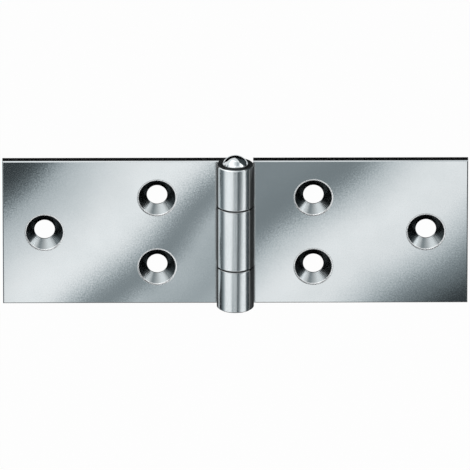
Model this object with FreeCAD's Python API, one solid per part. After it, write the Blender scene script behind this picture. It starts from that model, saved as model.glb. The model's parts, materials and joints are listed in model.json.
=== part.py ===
import FreeCAD, Part
import math
import os

# Back flap hinge laid open flat. Millimetres, +Z up along the pin.
# The origin is on the pin's axis, halfway between the tips of its two heads. The
# leaves reach out to -X and +X, and their backs lie in one plane on the +Y side,
# tangent to the barrel.

# Overall sizes
open_width = 100.0          # free edge to free edge, open flat
leaf_length = 33.0          # along the pin
leaf_thickness = 2.2

# Pin, and the knuckles rolled round it
pin_diameter = 3.5
pin_clearance = 0.05        # radial running clearance
head_overhang = 0.95        # head past the bore, all round
upper_head_height = 1.9
lower_head_height = 1.2
head_wall = 0.25            # upright part of a head below its dome
head_edge = 0.15
outer_knuckle = 9.4         # length of each knuckle on the left leaf
knuckle_gap = 0.25          # end play between neighbouring knuckles
curl_gap = 0.15             # rolled tip to the front face of its own leaf
barrel_gap = 0.25           # cut-out to the other leaf's knuckle

# Screw holes
inner_hole_x = 16.8         # from the pin axis
inner_hole_spacing = 16.0   # along the pin
outer_hole_x = 41.0         # from the pin axis
hole_diameter = 4.4
sink_diameter = 8.2
sink_angle = 90.0           # included
sink_edge = 0.4             # rounding where a countersink meets the face

# Edges
front_bevel = 0.22
back_bevel = 0.2            # and the barrel's two ends
seam_edge = 0.2             # rounding

# Worked out from the sizes above
bore_radius = pin_diameter / 2 + pin_clearance
barrel_radius = bore_radius + leaf_thickness
half_width = open_width / 2
half_length = leaf_length / 2
front_y = bore_radius
back_y = barrel_radius
seam_end = half_length - outer_knuckle
middle_end = seam_end - knuckle_gap
cutout_x = math.sqrt((barrel_radius + barrel_gap) ** 2 - front_y ** 2)
tip_angle = math.asin((front_y - curl_gap) / barrel_radius)
clear_of_barrel = barrel_radius + 1.0
clear_of_leaf = half_length + 1.0
leaf_drop = (upper_head_height - lower_head_height) / 2

left, right = -1, 1


def point(x, y, z=0.0):
    return FreeCAD.Vector(x, y, z)


def on_circle(radius, angle, side):
    """A point round the pin, with the angle taken from the leaf's own side."""
    return point(side * radius * math.cos(angle), radius * math.sin(angle))


def block(x1, x2, y1, y2, z1, z2):
    corner = point(min(x1, x2), y1, z1)
    return Part.makeBox(abs(x2 - x1), y2 - y1, z2 - z1, corner)


def leaf_section(side):
    """A flat strip with its inner end rolled almost all the way round the pin."""
    halfway = -(math.pi / 2 - tip_angle) / 2 - math.pi / 2
    tip_outer = on_circle(barrel_radius, tip_angle, side)
    tip_inner = on_circle(bore_radius, tip_angle, side)
    outer_middle = on_circle(barrel_radius, halfway, side)
    inner_middle = on_circle(bore_radius, halfway, side)
    free_back = point(side * half_width, back_y)
    free_front = point(side * half_width, front_y)
    root_back = point(0, back_y)
    root_front = point(0, front_y)
    edges = [
        Part.makeLine(free_back, root_back),
        Part.Arc(root_back, outer_middle, tip_outer).toShape(),
        Part.makeLine(tip_outer, tip_inner),
        Part.Arc(tip_inner, inner_middle, root_front).toShape(),
        Part.makeLine(root_front, free_front),
        Part.makeLine(free_front, free_back),
    ]
    return Part.Face(Part.Wire(edges))


def rolled_strip(side):
    section = leaf_section(side)
    section.translate(point(0, 0, -half_length))
    return section.extrude(point(0, 0, leaf_length))


def barrel_cutout(side, low, high):
    """Takes the roll away between two heights, and the strip back to cutout_x."""
    rolled = block(
        -clear_of_barrel, clear_of_barrel,
        -clear_of_barrel, front_y - curl_gap / 2, low, high,
    )
    strip = block(
        -side * clear_of_barrel, side * cutout_x,
        -clear_of_barrel, clear_of_barrel, low, high,
    )
    return rolled.fuse(strip)


def cut_barrel(shape, side):
    if side == left:
        spans = [(-seam_end, seam_end)]
    else:
        spans = [(middle_end, clear_of_leaf), (-clear_of_leaf, -middle_end)]
    for low, high in spans:
        shape = shape.cut(barrel_cutout(side, low, high))
    return shape


def near(value, wanted):
    return abs(value - wanted) < 1e-4


def chosen_edges(shape, chosen):
    """The edges whose bounding box passes the test."""
    return [edge for edge in shape.Edges if chosen(edge.BoundBox)]


def finish_edges(shape, side):
    """Bevels the front rim and the back rim, which runs on round the barrel where
    that ends with the leaf, then rounds the knuckle ends at the seams."""
    free_x = side * half_width
    seam = seam_end if side == left else middle_end

    def rim(y):
        def chosen(box):
            flat = near(box.YMin, y) and near(box.YMax, y)
            along = near(box.ZLength, 0) and near(abs(box.ZMin), half_length)
            across = near(box.XLength, 0) and near(box.XMin, free_x)
            return flat and (along or across)

        return chosen

    def knuckle_end(end):
        def chosen(box):
            flat = near(box.ZLength, 0) and near(abs(box.ZMin), end)
            return flat and near(box.YMin, -barrel_radius)

        return chosen

    back_rim = chosen_edges(shape, rim(back_y))
    back_rim += chosen_edges(shape, knuckle_end(half_length))
    shape = shape.makeChamfer(back_bevel, back_rim)
    shape = shape.makeChamfer(front_bevel, chosen_edges(shape, rim(front_y)))
    return shape.makeFillet(seam_edge, chosen_edges(shape, knuckle_end(seam)))


def hole_places(side):
    half_spacing = inner_hole_spacing / 2
    return [
        (side * inner_hole_x, half_spacing),
        (side * inner_hole_x, -half_spacing),
        (side * outer_hole_x, 0.0),
    ]


def countersunk_hole(x, z):
    hole_radius = hole_diameter / 2
    sink_radius = sink_diameter / 2
    depth = (sink_radius - hole_radius) / math.tan(math.radians(sink_angle / 2))
    inwards = point(0, 1, 0)
    start = point(x, front_y - 1.0, z)
    drill = Part.makeCylinder(hole_radius, leaf_thickness + 2.0, start, inwards)
    mouth = point(x, front_y, z)
    return drill.fuse(Part.makeCone(sink_radius, hole_radius, depth, mouth, inwards))


def drill_leaf(shape, side):
    sink_radius = sink_diameter / 2
    for x, z in hole_places(side):
        shape = shape.cut(countersunk_hole(x, z))

    def mouth(box):
        flat = near(box.YMin, front_y) and near(box.YMax, front_y)
        return flat and near(box.XLength, 2 * sink_radius)

    return shape.makeFillet(sink_edge, chosen_edges(shape, mouth))


def make_leaf(side):
    shape = cut_barrel(rolled_strip(side), side)
    return drill_leaf(finish_edges(shape, side), side)


def pin_head(height):
    """A domed head standing on the plane z = 0."""
    radius = bore_radius + head_overhang
    rise = height - head_wall
    dome_radius = (radius ** 2 + rise ** 2) / (2 * rise)
    lean = math.asin(radius / dome_radius) / 2
    dome_centre = height - dome_radius
    on_dome = point(
        dome_radius * math.sin(lean), 0, dome_centre + dome_radius * math.cos(lean)
    )
    top = point(0, 0, height)
    shoulder = point(radius, 0, head_wall)
    foot = point(radius, 0, 0)
    edges = [
        Part.Arc(top, on_dome, shoulder).toShape(),
        Part.makeLine(shoulder, foot),
        Part.makeLine(foot, point(0, 0, 0)),
        Part.makeLine(point(0, 0, 0), top),
    ]
    face = Part.Face(Part.Wire(edges))
    head = face.revolve(point(0, 0, 0), point(0, 0, 1), 360)

    def dome_rim(box):
        return near(box.ZMin, head_wall) and near(box.ZLength, 0)

    return head.makeFillet(head_edge, chosen_edges(head, dome_rim))


def make_pin():
    """A shank with a formed head above and a flatter closed head below."""
    shank = Part.makeCylinder(
        pin_diameter / 2, leaf_length, point(0, 0, -half_length)
    )
    upper = pin_head(upper_head_height)
    lower = pin_head(lower_head_height).mirror(point(0, 0, 0), point(0, 0, 1))
    upper.translate(point(0, 0, half_length))
    lower.translate(point(0, 0, -half_length))
    return shank.fuse([upper, lower]).removeSplitter()


pieces = {
    "left_leaf": make_leaf(left),
    "right_leaf": make_leaf(right),
    "hinge_pin": make_pin(),
}

os.makedirs("parts", exist_ok=True)
for name, shape in pieces.items():
    solid = shape.Solids[0]
    solid.translate(point(0, 0, -leaf_drop))
    solid.exportStep("parts/" + name + ".step")
    box = solid.BoundBox
    size = (round(box.XLength, 2), round(box.YLength, 2), round(box.ZLength, 2))
    print(name, len(shape.Solids), solid.isValid(), round(solid.Volume, 2), size)
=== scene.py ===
import json
import math

import bpy
import numpy as np
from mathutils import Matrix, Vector


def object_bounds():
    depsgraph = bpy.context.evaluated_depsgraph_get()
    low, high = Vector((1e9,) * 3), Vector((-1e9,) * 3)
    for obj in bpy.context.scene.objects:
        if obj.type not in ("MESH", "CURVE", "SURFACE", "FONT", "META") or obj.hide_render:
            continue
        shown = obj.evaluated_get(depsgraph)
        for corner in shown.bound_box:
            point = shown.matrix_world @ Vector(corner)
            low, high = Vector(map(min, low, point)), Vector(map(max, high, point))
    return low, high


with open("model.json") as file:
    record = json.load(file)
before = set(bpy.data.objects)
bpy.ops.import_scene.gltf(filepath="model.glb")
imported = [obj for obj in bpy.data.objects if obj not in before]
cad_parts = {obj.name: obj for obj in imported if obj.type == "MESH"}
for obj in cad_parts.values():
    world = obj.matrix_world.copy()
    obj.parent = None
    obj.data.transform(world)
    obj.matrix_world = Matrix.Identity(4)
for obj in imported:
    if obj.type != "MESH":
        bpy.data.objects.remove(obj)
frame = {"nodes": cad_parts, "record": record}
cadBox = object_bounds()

scene = bpy.context.scene
scene.view_settings.view_transform = "Standard"
record = frame["record"]
mm = 0.001

# sockets of the Mix node, whose names repeat
factor, numberA, numberB, colourA, colourB = 0, 2, 3, 6, 7
numberOut, colourOut = 0, 2


# An sRGB hex colour, turned to linear light
def hexToLinear(hexColour):
    channels = [int(hexColour[i:i + 2], 16) / 255 for i in (1, 3, 5)]
    linear = [c / 12.92 if c <= 0.04045 else ((c + 0.055) / 1.055) ** 2.4 for c in channels]
    return (*linear, 1.0)


# Adds a node; settings are its input values or properties, links are its inputs
def addNode(tree, kind, settings=None, links=None):
    node = tree.nodes.new(kind)
    for name, value in (settings or {}).items():
        if isinstance(name, int) or name in node.inputs:
            node.inputs[name].default_value = value
        else:
            setattr(node, name, value)
    for name, source in (links or {}).items():
        socket = source.outputs[0] if isinstance(source, bpy.types.Node) else source
        tree.links.new(socket, node.inputs[name])
    return node


def newTree(name):
    material = bpy.data.materials.new(name)
    material.use_nodes = True
    material.node_tree.nodes.clear()
    return material, material.node_tree


# Where a soft edge begins and where it is full
def fromTo(ends):
    return {"From Min": ends[0], "From Max": ends[1]}


mounts = {mount["name"]: mount for mount in record["mounts"]}
innerScrews = mounts["left_inner_screws"]
outerScrew = mounts["left_outer_screw"]

# Lengths are in mm. The grain, the rings and the streaks are drawn coarser than real, so that they show.
steelFinish = {
    "face": "#DDE2E4",
    "faceDull": "#D5DBDD",
    "sheared": "#4B5053",
    "edge": "#CDD2D4",
    "cut": "#A3A9AB",
    # painted shade: the darker colour of the countersinks' walls that don't face up
    "cutPaintedShade": "#5C6264",
    # partly painted highlight: the light ring at the countersinks' mouths, also burnished by the cutter
    "lip": "#F1F3F4",
    # painted shade: the near black laid in crevices and down the barrel's sides; its roughness, shine and
    # cover are set below
    "paintedShade": "#0E1112",
    "faceRoughness": 0.038,
    "dullRoughness": 0.052,
    "barrelRoughness": 0.18,
    "cutRoughness": 0.17,
    "lipRoughness": 0.40,
    "shearedRoughness": 0.28,
    "paintedShadeRoughness": 0.60,
    "paintedShadeShine": 0.12,
    "paintedShadeCover": 0.97,
    "grainSize": 0.30,
    "grainLean": 0.010,             # how far the normal leans, out of its length
    "stainSize": 9.0,
    "stainEdge": (0.42, 0.68),
    "stainShare": 0.6,
    "speckEdge": (0.3, 0.7),
    "speckShare": 0.5,
    "sinkRadius": 4.12,             # inside the rounded mouth
    "sinkFade": 0.25,
    "flatLimit": 0.92,              # squarer to the face than this is face, not countersink
    "upperWallShadeEdge": (0.46, 0.28),        # by how far up the wall faces
    "ringPitch": 0.26,
    "ringLean": 0.05,
    "lipWidth": 0.16,               # either side of the mouth's corner
    "lipFade": 0.04,
    "barrelRadius": 4.04,
    "streakWidth": 0.13,
    "streakLength": 7.0,
    "streakLean": 0.07,
    "edgeRound": 0.03,
    "wornEdge": (0.995, 0.93),      # by how well the rounded normal agrees with the face's own
    "shearedEdge": (0.88, 0.96),    # by how far up or down the face looks
    "creviceReach": 0.8,
    "creviceEdge": (0.94, 0.52),    # by how open the spot is
    "sideReach": 40.0,
    "sideOpen": (0.99, 0.92),
    "sideTurn": 0.152,              # the painted shade reaches further round on the right
    "sideEdge": (-2.43, -1.91),     # in front of the pin's axis
}


# Cold rolled steel strip, polished bright: a clear mirror with a fine soft grain.
# The countersinks are cut after polishing, so they are darker and finely ringed.
def brightSteel(name, look):
    material, tree = newTree(name)
    place = addNode(tree, "ShaderNodeTexCoord").outputs["Object"]
    inMm = addNode(tree, "ShaderNodeVectorMath", {"operation": "SCALE", "Scale": 1 / mm}, {0: place})
    rounded = addNode(tree, "ShaderNodeBevel", {"samples": 6, "Radius": look["edgeRound"] * mm})
    flat = addNode(tree, "ShaderNodeNewGeometry").outputs["Normal"]
    own = addNode(tree, "ShaderNodeTexCoord").outputs["Normal"]

    # how far each spot faces back, and how far up
    back = addNode(tree, "ShaderNodeVectorMath", {"operation": "DOT_PRODUCT", 1: (0, 1, 0)}, {0: own})
    back = back.outputs["Value"]
    upward = addNode(tree, "ShaderNodeVectorMath", {"operation": "DOT_PRODUCT", 1: (0, 0, 1)}, {0: own})
    upward = upward.outputs["Value"]

    # distance from the nearest screw hole's axis; the leaves are alike left and right of the pin,
    # and above and below their own middle height
    leafMiddle = (0, 0, innerScrews["pos_m"][2] / mm)
    folded = addNode(tree, "ShaderNodeVectorMath", {"operation": "SUBTRACT", 1: leafMiddle}, {0: inMm})
    folded = addNode(tree, "ShaderNodeVectorMath", {"operation": "ABSOLUTE"}, {0: folded})
    level = addNode(tree, "ShaderNodeVectorMath", {"operation": "MULTIPLY", 1: (1, 0, 1)}, {0: folded})
    innerAxis = (abs(innerScrews["pos_m"][0]) / mm, 0, innerScrews["dims"]["spacing_y_mm"] / 2)
    outerAxis = (abs(outerScrew["pos_m"][0]) / mm, 0, 0)
    toInner = addNode(tree, "ShaderNodeVectorMath", {"operation": "DISTANCE", 1: innerAxis}, {0: level})
    toOuter = addNode(tree, "ShaderNodeVectorMath", {"operation": "DISTANCE", 1: outerAxis}, {0: level})
    toHole = addNode(tree, "ShaderNodeMath", {"operation": "MINIMUM"},
                     {0: toInner.outputs["Value"], 1: toOuter.outputs["Value"]})

    # the countersink's wall, and not the face round it
    sinkEdge = (look["sinkRadius"], look["sinkRadius"] - look["sinkFade"])
    inSink = addNode(tree, "ShaderNodeMapRange", fromTo(sinkEdge), {0: toHole})
    square = addNode(tree, "ShaderNodeMath", {"operation": "ABSOLUTE"}, {0: back})
    offFace = addNode(tree, "ShaderNodeMath", {"operation": "LESS_THAN", 1: look["flatLimit"]}, {0: square})
    inSink = addNode(tree, "ShaderNodeMath", {"operation": "MULTIPLY"}, {0: inSink, 1: offFace})

    # the mouth's rounded lip, on the front only: burnished by the cutter, and lighter than the face as a
    # painted highlight ring
    offLip = addNode(tree, "ShaderNodeMath", {"operation": "SUBTRACT", 1: look["sinkRadius"]}, {0: toHole})
    offLip = addNode(tree, "ShaderNodeMath", {"operation": "ABSOLUTE"}, {0: offLip})
    lipEdge = (look["lipWidth"] + look["lipFade"], look["lipWidth"])
    onLip = addNode(tree, "ShaderNodeMapRange", fromTo(lipEdge), {0: offLip})
    front = addNode(tree, "ShaderNodeMath", {"operation": "LESS_THAN", 1: 0.0}, {0: back})
    onLip = addNode(tree, "ShaderNodeMath", {"operation": "MULTIPLY"}, {0: onLip, 1: front})

    # grain: a fine cloud that leans the normal by under a degree
    grain = addNode(tree, "ShaderNodeTexNoise", {"Scale": 1 / look["grainSize"], "Detail": 2.0},
                    {"Vector": inMm})
    centred = addNode(tree, "ShaderNodeVectorMath", {"operation": "SUBTRACT", 1: (0.5, 0.5, 0.5)},
                      {0: grain.outputs["Color"]})
    lean = addNode(tree, "ShaderNodeVectorMath", {"operation": "SCALE", "Scale": look["grainLean"]},
                   {0: centred})

    # turned rings: the normal of the countersink's wall rocks to and fro with depth
    depth = addNode(tree, "ShaderNodeSeparateXYZ", links={0: inMm}).outputs["Y"]
    ringTurn = 2 * math.pi / look["ringPitch"]
    phase = addNode(tree, "ShaderNodeMath", {"operation": "MULTIPLY", 1: ringTurn}, {0: depth})
    wave = addNode(tree, "ShaderNodeMath", {"operation": "SINE"}, {0: phase})
    ringed = addNode(tree, "ShaderNodeMath", {"operation": "MULTIPLY"}, {0: wave, 1: inSink})
    rock = addNode(tree, "ShaderNodeMath", {"operation": "MULTIPLY", 1: look["ringLean"]}, {0: ringed})

    # rolling streaks: on the barrel the normal leans to and fro across fine upright lines
    flatPlace = addNode(tree, "ShaderNodeVectorMath", {"operation": "MULTIPLY", 1: (1, 1, 0)}, {0: inMm})
    fromPin = addNode(tree, "ShaderNodeVectorMath", {"operation": "LENGTH"}, {0: flatPlace})
    onBarrel = addNode(tree, "ShaderNodeMath", {"operation": "LESS_THAN", 1: look["barrelRadius"]},
                       {0: fromPin.outputs["Value"]})
    drawn = (1 / look["streakWidth"], 1 / look["streakWidth"], 1 / look["streakLength"])
    drawnPlace = addNode(tree, "ShaderNodeVectorMath", {"operation": "MULTIPLY", 1: drawn}, {0: inMm})
    streak = addNode(tree, "ShaderNodeTexNoise", {"Scale": 1.0, "Detail": 3.0}, {"Vector": drawnPlace})
    aside = addNode(tree, "ShaderNodeMath", {"operation": "SUBTRACT", 1: 0.5}, {0: streak.outputs[0]})
    aside = addNode(tree, "ShaderNodeMath", {"operation": "MULTIPLY", 1: look["streakLean"]}, {0: aside})
    aside = addNode(tree, "ShaderNodeMath", {"operation": "MULTIPLY"}, {0: aside, 1: onBarrel})

    markLean = addNode(tree, "ShaderNodeCombineXYZ", links={0: aside, 1: rock})
    leaned = addNode(tree, "ShaderNodeVectorMath", {"operation": "ADD"}, {0: rounded, 1: lean})
    leaned = addNode(tree, "ShaderNodeVectorMath", {"operation": "ADD"}, {0: leaned, 1: markLean})
    normal = addNode(tree, "ShaderNodeVectorMath", {"operation": "NORMALIZE"}, {0: leaned})

    # worn edges: where the rounded normal leaves the face's own
    agree = addNode(tree, "ShaderNodeVectorMath", {"operation": "DOT_PRODUCT"}, {0: rounded, 1: flat})
    worn = addNode(tree, "ShaderNodeMapRange", fromTo(look["wornEdge"]), {0: agree.outputs["Value"]})

    # sheared edges of the strip: faces square to the barrel's axis, duller than the rolled faces
    endwise = addNode(tree, "ShaderNodeMath", {"operation": "ABSOLUTE"}, {0: upward})
    sheared = addNode(tree, "ShaderNodeMapRange", fromTo(look["shearedEdge"]), {0: endwise})

    # painted shade on the countersinks' walls, all but the lower ones, which face up to the light overhead
    upperWallShade = addNode(tree, "ShaderNodeMapRange", fromTo(look["upperWallShadeEdge"]), {0: upward})
    upperWallShade = addNode(tree, "ShaderNodeMath", {"operation": "MULTIPLY"}, {0: upperWallShade, 1: inSink})

    # faint dull patches in the polish
    stain = addNode(tree, "ShaderNodeTexNoise",
                    {"Scale": 1 / look["stainSize"], "Detail": 5.0, "Roughness": 0.6}, {"Vector": inMm})
    dull = addNode(tree, "ShaderNodeMapRange", fromTo(look["stainEdge"]), {0: stain.outputs[0]})
    speck = addNode(tree, "ShaderNodeMapRange",
                    {**fromTo(look["speckEdge"]), "To Max": look["speckShare"]}, {0: grain.outputs[0]})
    dull = addNode(tree, "ShaderNodeMath", {"operation": "MULTIPLY", 1: look["stainShare"]}, {0: dull})
    dull = addNode(tree, "ShaderNodeMath", {"operation": "ADD", "use_clamp": True}, {0: dull, 1: speck})

    # painted shade where pieces meet: darker the more a spot is enclosed
    openness = addNode(tree, "ShaderNodeAmbientOcclusion",
                       {"samples": 8, "Distance": look["creviceReach"] * mm})
    hidden = addNode(tree, "ShaderNodeMapRange", fromTo(look["creviceEdge"]), {0: openness.outputs["AO"]})
    # and painted shade down the barrel's sides to the leaf, wherever a leaf stands near enough to enclose
    # them
    wide = addNode(tree, "ShaderNodeAmbientOcclusion", {"samples": 16, "Distance": look["sideReach"] * mm})
    closed = addNode(tree, "ShaderNodeMapRange", fromTo(look["sideOpen"]), {0: wide.outputs["AO"]})
    behind = addNode(tree, "ShaderNodeVectorMath",
                     {"operation": "DOT_PRODUCT", 1: (look["sideTurn"], 1, 0)}, {0: inMm})
    sideways = addNode(tree, "ShaderNodeMapRange", fromTo(look["sideEdge"]), {0: behind.outputs["Value"]})
    sideways = addNode(tree, "ShaderNodeMath", {"operation": "MULTIPLY"}, {0: sideways, 1: onBarrel})
    sideways = addNode(tree, "ShaderNodeMath", {"operation": "MULTIPLY"}, {0: sideways, 1: closed})
    paintedShade = addNode(tree, "ShaderNodeMath", {"operation": "MAXIMUM"}, {0: hidden, 1: sideways})
    paintedShade = addNode(tree, "ShaderNodeMath", {"operation": "MULTIPLY", 1: look["paintedShadeCover"]}, {0: paintedShade})
    unshaded = addNode(tree, "ShaderNodeMath", {"operation": "SUBTRACT", 0: 1.0}, {1: paintedShade})

    colour = addNode(tree, "ShaderNodeMix",
                     {"data_type": "RGBA", colourA: hexToLinear(look["face"]),
                      colourB: hexToLinear(look["faceDull"])}, {factor: dull})
    # the last mask lays painted shade in crevices and down the barrel's sides
    for mask, over in ((sheared, "sheared"), (worn, "edge"), (inSink, "cut"), (upperWallShade, "cutPaintedShade"),
                       (onLip, "lip"), (paintedShade, "paintedShade")):
        colour = addNode(tree, "ShaderNodeMix", {"data_type": "RGBA", colourB: hexToLinear(look[over])},
                         {factor: mask, colourA: colour.outputs[colourOut]})
    rough = addNode(tree, "ShaderNodeMapRange",
                    {"To Min": look["faceRoughness"], "To Max": look["dullRoughness"]}, {0: dull})
    for mask, over in ((onBarrel, "barrelRoughness"), (inSink, "cutRoughness"), (onLip, "lipRoughness"),
                       (sheared, "shearedRoughness"), (paintedShade, "paintedShadeRoughness")):
        rough = addNode(tree, "ShaderNodeMix", {"data_type": "FLOAT", numberB: look[over]},
                        {factor: mask, numberA: rough.outputs[numberOut]})
    surface = addNode(tree, "ShaderNodeBsdfPrincipled", {"Specular IOR Level": look["paintedShadeShine"]},
                      {"Base Color": colour.outputs[colourOut], "Metallic": unshaded,
                       "Roughness": rough.outputs[numberOut], "Normal": normal})
    addNode(tree, "ShaderNodeOutputMaterial", links={"Surface": surface})
    return material


leafSteel = brightSteel("bright_rolled_steel", steelFinish)
for name in ("left_leaf", "right_leaf"):
    for slot in frame["nodes"][name].material_slots:
        slot.material = leafSteel
print("leaves: polished steel strip")

# Drawn steel rod, its heads closed over bright: a little darker than the leaves, with the same fine
# grain. The radii below nought switch the countersinks and the streaks off.
pinFinish = {
    **steelFinish,
    "face": "#D8DDDF",
    "sheared": "#D8DDDF",
    "shearedRoughness": 0.08,
    "sinkRadius": -2.0,
    "barrelRadius": -1.0,
}
pinSteel = brightSteel("drawn_steel_rod", pinFinish)
for slot in frame["nodes"]["hinge_pin"].material_slots:
    slot.material = pinSteel
print("pin: closed steel rod")

cameraPlace = {
    "azimuth": -0.3,        # degrees
    "elevation": 22.4,
    "lens": 1200.0,         # mm
    "sensor": 36.0,
    "viewWidth": 0.1010,    # metres across the view at the hinge
    "aimLeft": 0.000065,    # metres, looks a little left of and below the middle
    "aimDrop": 0.00026,
    "clipEnd": 100.0,
}
turn = math.radians(cameraPlace["azimuth"])
rise = math.radians(cameraPlace["elevation"])
low, high = cadBox
middle = (low + high) / 2
towardCamera = Vector((math.sin(turn) * math.cos(rise), -math.cos(turn) * math.cos(rise), math.sin(rise)))
camera = bpy.data.objects.new("camera", bpy.data.cameras.new("camera"))
scene.collection.objects.link(camera)
camera.data.lens = cameraPlace["lens"]
camera.data.sensor_width = cameraPlace["sensor"]
camera.data.clip_end = cameraPlace["clipEnd"]
reach = cameraPlace["viewWidth"] * cameraPlace["lens"] / cameraPlace["sensor"]
aimShift = Vector((cameraPlace["aimLeft"], 0, cameraPlace["aimDrop"]))
camera.location = middle + towardCamera * reach - aimShift
camera.rotation_mode = "QUATERNION"
camera.rotation_quaternion = (-towardCamera).to_track_quat("-Z", "Y")
scene.camera = camera
print("camera: {:.2f} m away".format(reach))


# A flat sheet: corner plus u along its width plus v along its height, with its glow at each point
def gridMesh(name, corner, along, up, glow, across, down):
    u, v = np.meshgrid(np.linspace(0, 1, across), np.linspace(0, 1, down))
    points = np.array(corner) + u[..., None] * np.array(along) + v[..., None] * np.array(up)
    index = np.arange(across * down).reshape(down, across)
    quads = np.stack([index[:-1, :-1], index[:-1, 1:], index[1:, 1:], index[1:, :-1]], -1).reshape(-1, 4)
    mesh = bpy.data.meshes.new(name)
    mesh.from_pydata(points.reshape(-1, 3).tolist(), [], quads.tolist())
    layer = mesh.attributes.new("glow", "FLOAT", "POINT")
    layer.data.foreach_set("value", np.asarray(glow(u, v), np.float32).ravel())
    return mesh


paperTint = {"dim": "#E3F7FF", "bright": "#FFFFFF"}


# Lit studio card, matt and even: what the polished steel shows as soft bands, cooler where it is dimmer
def cardPaper():
    material, tree = newTree("card_paper")
    glow = addNode(tree, "ShaderNodeAttribute", {"attribute_name": "glow"}).outputs["Fac"]
    tint = addNode(tree, "ShaderNodeMix",
                   {"data_type": "RGBA", colourA: hexToLinear(paperTint["dim"]),
                    colourB: hexToLinear(paperTint["bright"])}, {factor: glow})
    light = addNode(tree, "ShaderNodeEmission", links={"Color": tint.outputs[colourOut], "Strength": glow})
    addNode(tree, "ShaderNodeOutputMaterial", links={"Surface": light})
    material.cycles.emission_sampling = "NONE"
    return material


cardMaterial = cardPaper()


# A card stands at middle + aim * away, square to aim, and only shows in the metal
def addCard(name, card, glow, across, down):
    aim = Vector(card["aim"]).normalized()
    side = Vector((-aim.y, aim.x, 0)).normalized()
    if side.x < 0:
        side = -side
    up = side.cross(aim)
    if up.z < 0:
        up = -up
    along, up = side * card["width"], up * card["height"]
    corner = middle + aim * card["away"] - along / 2 - up / 2
    mesh = gridMesh(name, corner, along, up, glow, across, down)
    mesh.materials.append(cardMaterial)
    sheet = bpy.data.objects.new(name, mesh)
    scene.collection.objects.link(sheet)
    for seen in ("camera", "diffuse", "transmission", "volume_scatter", "shadow"):
        setattr(sheet, "visible_" + seen, False)


bandCard = {
    # the leaves mirror what lies along the camera's direction turned about their own
    "aim": (-towardCamera.x, towardCamera.y, -towardCamera.z),
    "away": 0.34,
    "width": 1.0,
    "height": 0.35,
    # brightness across the diagonal bands, in mm of leaf, with the bands' slope in degrees
    "leftSlope": 46,
    "leftSteps": [-55, -43.5, -41, -39, -36.5, -33, -30, -26, -20, -16, -14, -12, -10, -8, -6, -4.7, -4,
                  -2, 1, 3.5, 6.5],
    "leftGlows": [0.04, 0.06, 0.10, 0.26, 0.58, 0.72, 0.84, 0.97, 1.08, 1.04, 0.90, 0.65, 0.36, 0.26, 0.33,
                  0.45, 0.67, 0.59, 0.54, 0.44, 0.58],
    "rightSlope": 40,
    "rightSteps": [-12, -3, 2, 4.5, 6, 8, 10, 14, 18, 22, 26, 29, 32, 34, 36, 39, 42, 50],
    "rightGlows": [0.31, 0.32, 0.27, 0.27, 0.36, 0.63, 0.77, 0.96, 1.05, 1.0, 0.99, 0.83, 0.60, 0.36, 0.27,
                   0.18, 0.06, 0.04],
    # the bands waver: how many mm, radians for each mm along x and along z, and where each wave starts
    "wavers": [(1.1, 0.09, 0.14, 1.0), (0.6, -0.13, 0.21, 0.0)],
    "joinWidth": 3,         # mm either side of the pin
    "leafEnd": (53, 60),    # mm from the pin, where the leaves' own bands give way
    # brightness beyond the leaves, which the barrel sees, by degrees round from the front
    "roundSteps": [-64, -55, -38, -26, -17, -11, 3, 12, 29, 36, 43, 60],
    "roundGlows": [0.92, 1.04, 0.97, 1.08, 0.88, 0.32, 0.07, 0.02, 0.04, 0.48, 1.12, 1.05],
    "roundSlant": 0.50,     # degrees for each mm up the barrel
    "slantLimit": 25,       # mm
    "ripple": 0.25,
    "haze": 0.09,
    "ripplePitch": 13.0,    # degrees
    "rippleSlant": 0.35,
}


def smoothStep(value, start, end):
    t = np.clip((value - start) / (end - start), 0, 1)
    return t * t * (3 - 2 * t)


# Soft diagonal bands: across = x sin(slope) - z cos(slope), with one brightness curve per leaf
def bandGlow(u, v):
    card = bandCard
    wide, tall = (u - 0.5) * card["width"], (v - 0.5) * card["height"]
    onLeaf = 1 / mm / (1 + card["away"] / reach)
    x, z = wide * onLeaf, tall * onLeaf / math.cos(rise)
    waver = sum(size * np.sin(alongX * x + alongZ * z + start)
                for size, alongX, alongZ, start in card["wavers"])
    leftSlope, rightSlope = math.radians(card["leftSlope"]), math.radians(card["rightSlope"])
    leftAcross = x * math.sin(leftSlope) - z * math.cos(leftSlope) + waver
    rightAcross = x * math.sin(rightSlope) - z * math.cos(rightSlope) + waver
    leftGlow = np.interp(leftAcross, card["leftSteps"], card["leftGlows"])
    rightGlow = np.interp(rightAcross, card["rightSteps"], card["rightGlows"])
    right = smoothStep(x, -card["joinWidth"], card["joinWidth"])
    onLeaves = leftGlow * (1 - right) + rightGlow * right
    # each point's way round the hinge, and the height in mm on the barrel that mirrors it to the camera
    front = card["away"] * math.cos(rise) + tall * math.sin(rise)
    aroundHinge = np.degrees(np.arctan2(wide, front))
    height = tall * math.cos(rise) - card["away"] * math.sin(rise) + math.tan(rise) * np.hypot(wide, front)
    height = height / mm
    slanted = aroundHinge - card["roundSlant"] * np.clip(height, -card["slantLimit"], card["slantLimit"])
    outside = np.interp(slanted, card["roundSteps"], card["roundGlows"])
    # too fine for the barrel to show, but wide soft bands in a leaf that is seen from the side
    turns = (aroundHinge + card["rippleSlant"] * height) / card["ripplePitch"]
    wave = np.sin(2 * math.pi * turns)
    outside = outside * (1 + card["ripple"] * wave) + card["haze"] * (1 + wave)
    return onLeaves + (outside - onLeaves) * smoothStep(np.abs(x), *card["leafEnd"])


addCard("band_card", bandCard, bandGlow, 420, 140)

rearCard = {
    "aim": (0, 0.93, -0.37),
    "away": 0.34,
    "width": 1.1,
    "height": 0.35,
    "mean": 0.66,
    "swing": 0.30,
    "pitch": 0.115,         # metres
    "slope": 1.3,
    "slowSwing": 0.4,       # the longer wave, beside the first
    "slowPitch": 2.7,
    "slowStart": 1.0,       # radians
}


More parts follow.
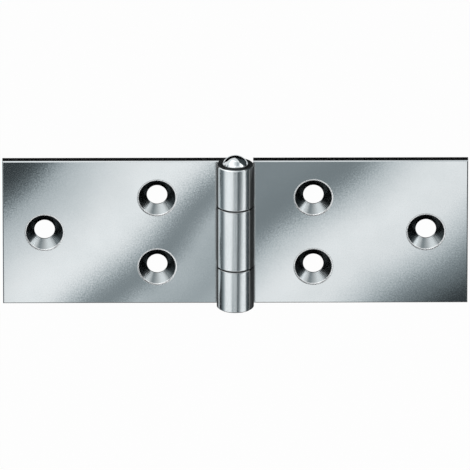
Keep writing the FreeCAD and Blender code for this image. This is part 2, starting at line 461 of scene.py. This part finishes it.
# Soft diagonal bands for the backs of the leaves: two sine waves along x + slope * z
def rearGlow(u, v):
    along = (u - 0.5) * rearCard["width"] + rearCard["slope"] * (v - 0.5) * rearCard["height"]
    angle = 2 * math.pi * along / rearCard["pitch"]
    slow = rearCard["slowSwing"] * np.sin(angle / rearCard["slowPitch"] + rearCard["slowStart"])
    return rearCard["mean"] + rearCard["swing"] * (np.sin(angle) + slow)


addCard("rear_card", rearCard, rearGlow, 300, 100)

overheadCard = {
    "aim": (0, -0.36, 0.93),
    "away": 0.6,
    "width": 2.1,
    "height": 0.34,
    # brightness by degrees to the right of the hinge, as the lower countersink walls see it
    "steps": [-60, -54, -40, -22, -8, 0, 10, 18, 26, 36, 46, 56, 62],
    "glows": [0.10, 0.90, 1.70, 1.65, 1.20, 0.95, 0.75, 0.52, 0.62, 1.30, 1.60, 1.00, 0.10],
}


# A long strip over the front of the hinge that fades and brightens along its length
def overheadGlow(u, v):
    above = overheadCard["away"] * overheadCard["aim"][2]
    aside = np.degrees(np.arctan2((u - 0.5) * overheadCard["width"], above))
    return np.interp(aside, overheadCard["steps"], overheadCard["glows"])


addCard("overhead_card", overheadCard, overheadGlow, 240, 2)

# Dark cards for the black parts of the steel: glow is their own, and frontGlow is what is added
# toward a side card's front edge
flags = {
    "back_flag": {"aim": (0, 0.862, 0.507), "away": 0.6, "width": 1.2, "height": 0.47,
                  "glow": 0.0, "frontGlow": 0.0},
    "left_flag": {"aim": (-1, 0.0, -0.12), "away": 0.28, "width": 0.26, "height": 0.34,
                  "glow": 0.02, "frontGlow": 0.98},
    "right_flag": {"aim": (1, 0.02, -0.12), "away": 0.28, "width": 0.24, "height": 0.34,
                   "glow": 0.0, "frontGlow": 0.24},
    "low_flag": {"aim": (0, 0.36, -0.93), "away": 0.19, "width": 0.5, "height": 0.16,
                 "glow": 0.0, "frontGlow": 0.0},
    "camera_flag": {"aim": (0, -0.94, 0.34), "away": 0.9, "width": 2.1, "height": 0.50,
                    "glow": 0.0, "frontGlow": 0.0},
    "dome_flag": {"aim": (0.62, 0.45, 0.64), "away": 0.7, "width": 0.85, "height": 0.75,
                  "glow": 0.07, "frontGlow": 0.0},
}
for name, flag in flags.items():
    addCard(name, flag, lambda u, v: flag["glow"] + flag["frontGlow"] * u ** 3, 30, 2)
print("studio: cards in place")


# One for rays that see a thing straight, in metal or through glass, and nought for rays that light it
def seenDirectly(tree):
    rays = addNode(tree, "ShaderNodeLightPath")
    seen = rays.outputs["Is Camera Ray"]
    for kind in ("Is Glossy Ray", "Is Transmission Ray"):
        seen = addNode(tree, "ShaderNodeMath", {"operation": "MAXIMUM"}, {0: seen, 1: rays.outputs[kind]})
    return seen


floorPlace = {
    "drop": 0.30,           # metres under the hinge
    "size": 8.0,
    "colour": "#FFFFFF",
    "white": 0.96,          # how much of what the camera sees is plain white
}


# White paper: nearly pure white to the eye, with the faintest shade of the lamps left in it
def paleFloor():
    material, tree = newTree("pale_floor")
    share = addNode(tree, "ShaderNodeMath", {"operation": "MULTIPLY", 1: floorPlace["white"]},
                    {0: seenDirectly(tree)})
    paint = addNode(tree, "ShaderNodeBsdfDiffuse", {"Color": hexToLinear(floorPlace["colour"])})
    white = addNode(tree, "ShaderNodeEmission", {"Color": (1, 1, 1, 1), "Strength": 1.0})
    both = addNode(tree, "ShaderNodeMixShader", links={0: share, 1: paint, 2: white})
    addNode(tree, "ShaderNodeOutputMaterial", links={"Surface": both})
    return material


half = floorPlace["size"] / 2
floorCorner = (-half, -half, low.z - floorPlace["drop"])
floorMesh = gridMesh("floor", floorCorner, (2 * half, 0, 0), (0, 2 * half, 0), lambda u, v: 0 * u, 2, 2)
floorMesh.materials.append(paleFloor())
floor = bpy.data.objects.new("floor", floorMesh)
scene.collection.objects.link(floor)

airGlow = {"light": 0.55, "seen": 1.0}
world = bpy.data.worlds.new("studio_air")
scene.world = world
world.use_nodes = True
tree = world.node_tree
tree.nodes.clear()
level = addNode(tree, "ShaderNodeMapRange", {"To Min": airGlow["light"], "To Max": airGlow["seen"]},
                {0: seenDirectly(tree)})
air = addNode(tree, "ShaderNodeBackground", {"Color": (1, 1, 1, 1)}, {"Strength": level})
addNode(tree, "ShaderNodeOutputWorld", links={"Surface": air})

# Area lamps aimed at the hinge; glow is the brightness of a lamp's face
softboxes = {
    "top_softbox": {"aim": (-0.30, -0.33, 0.90), "away": 0.8, "width": 0.9, "height": 0.9, "glow": 0.60},
    "side_softbox": {"aim": (0.84, -0.25, 0.48), "away": 0.8, "width": 0.16, "height": 0.30, "glow": 1.20},
}
for name, box in softboxes.items():
    aim = Vector(box["aim"]).normalized()
    lamp = bpy.data.lights.new(name, "AREA")
    lamp.shape = "RECTANGLE"
    lamp.size, lamp.size_y = box["width"], box["height"]
    lamp.energy = box["glow"] * box["width"] * box["height"] * math.pi
    softbox = bpy.data.objects.new(name, lamp)
    scene.collection.objects.link(softbox)
    softbox.location = middle + aim * box["away"]
    softbox.rotation_mode = "QUATERNION"
    softbox.rotation_quaternion = aim.to_track_quat("Z", "Y")
print("studio: lamps on")
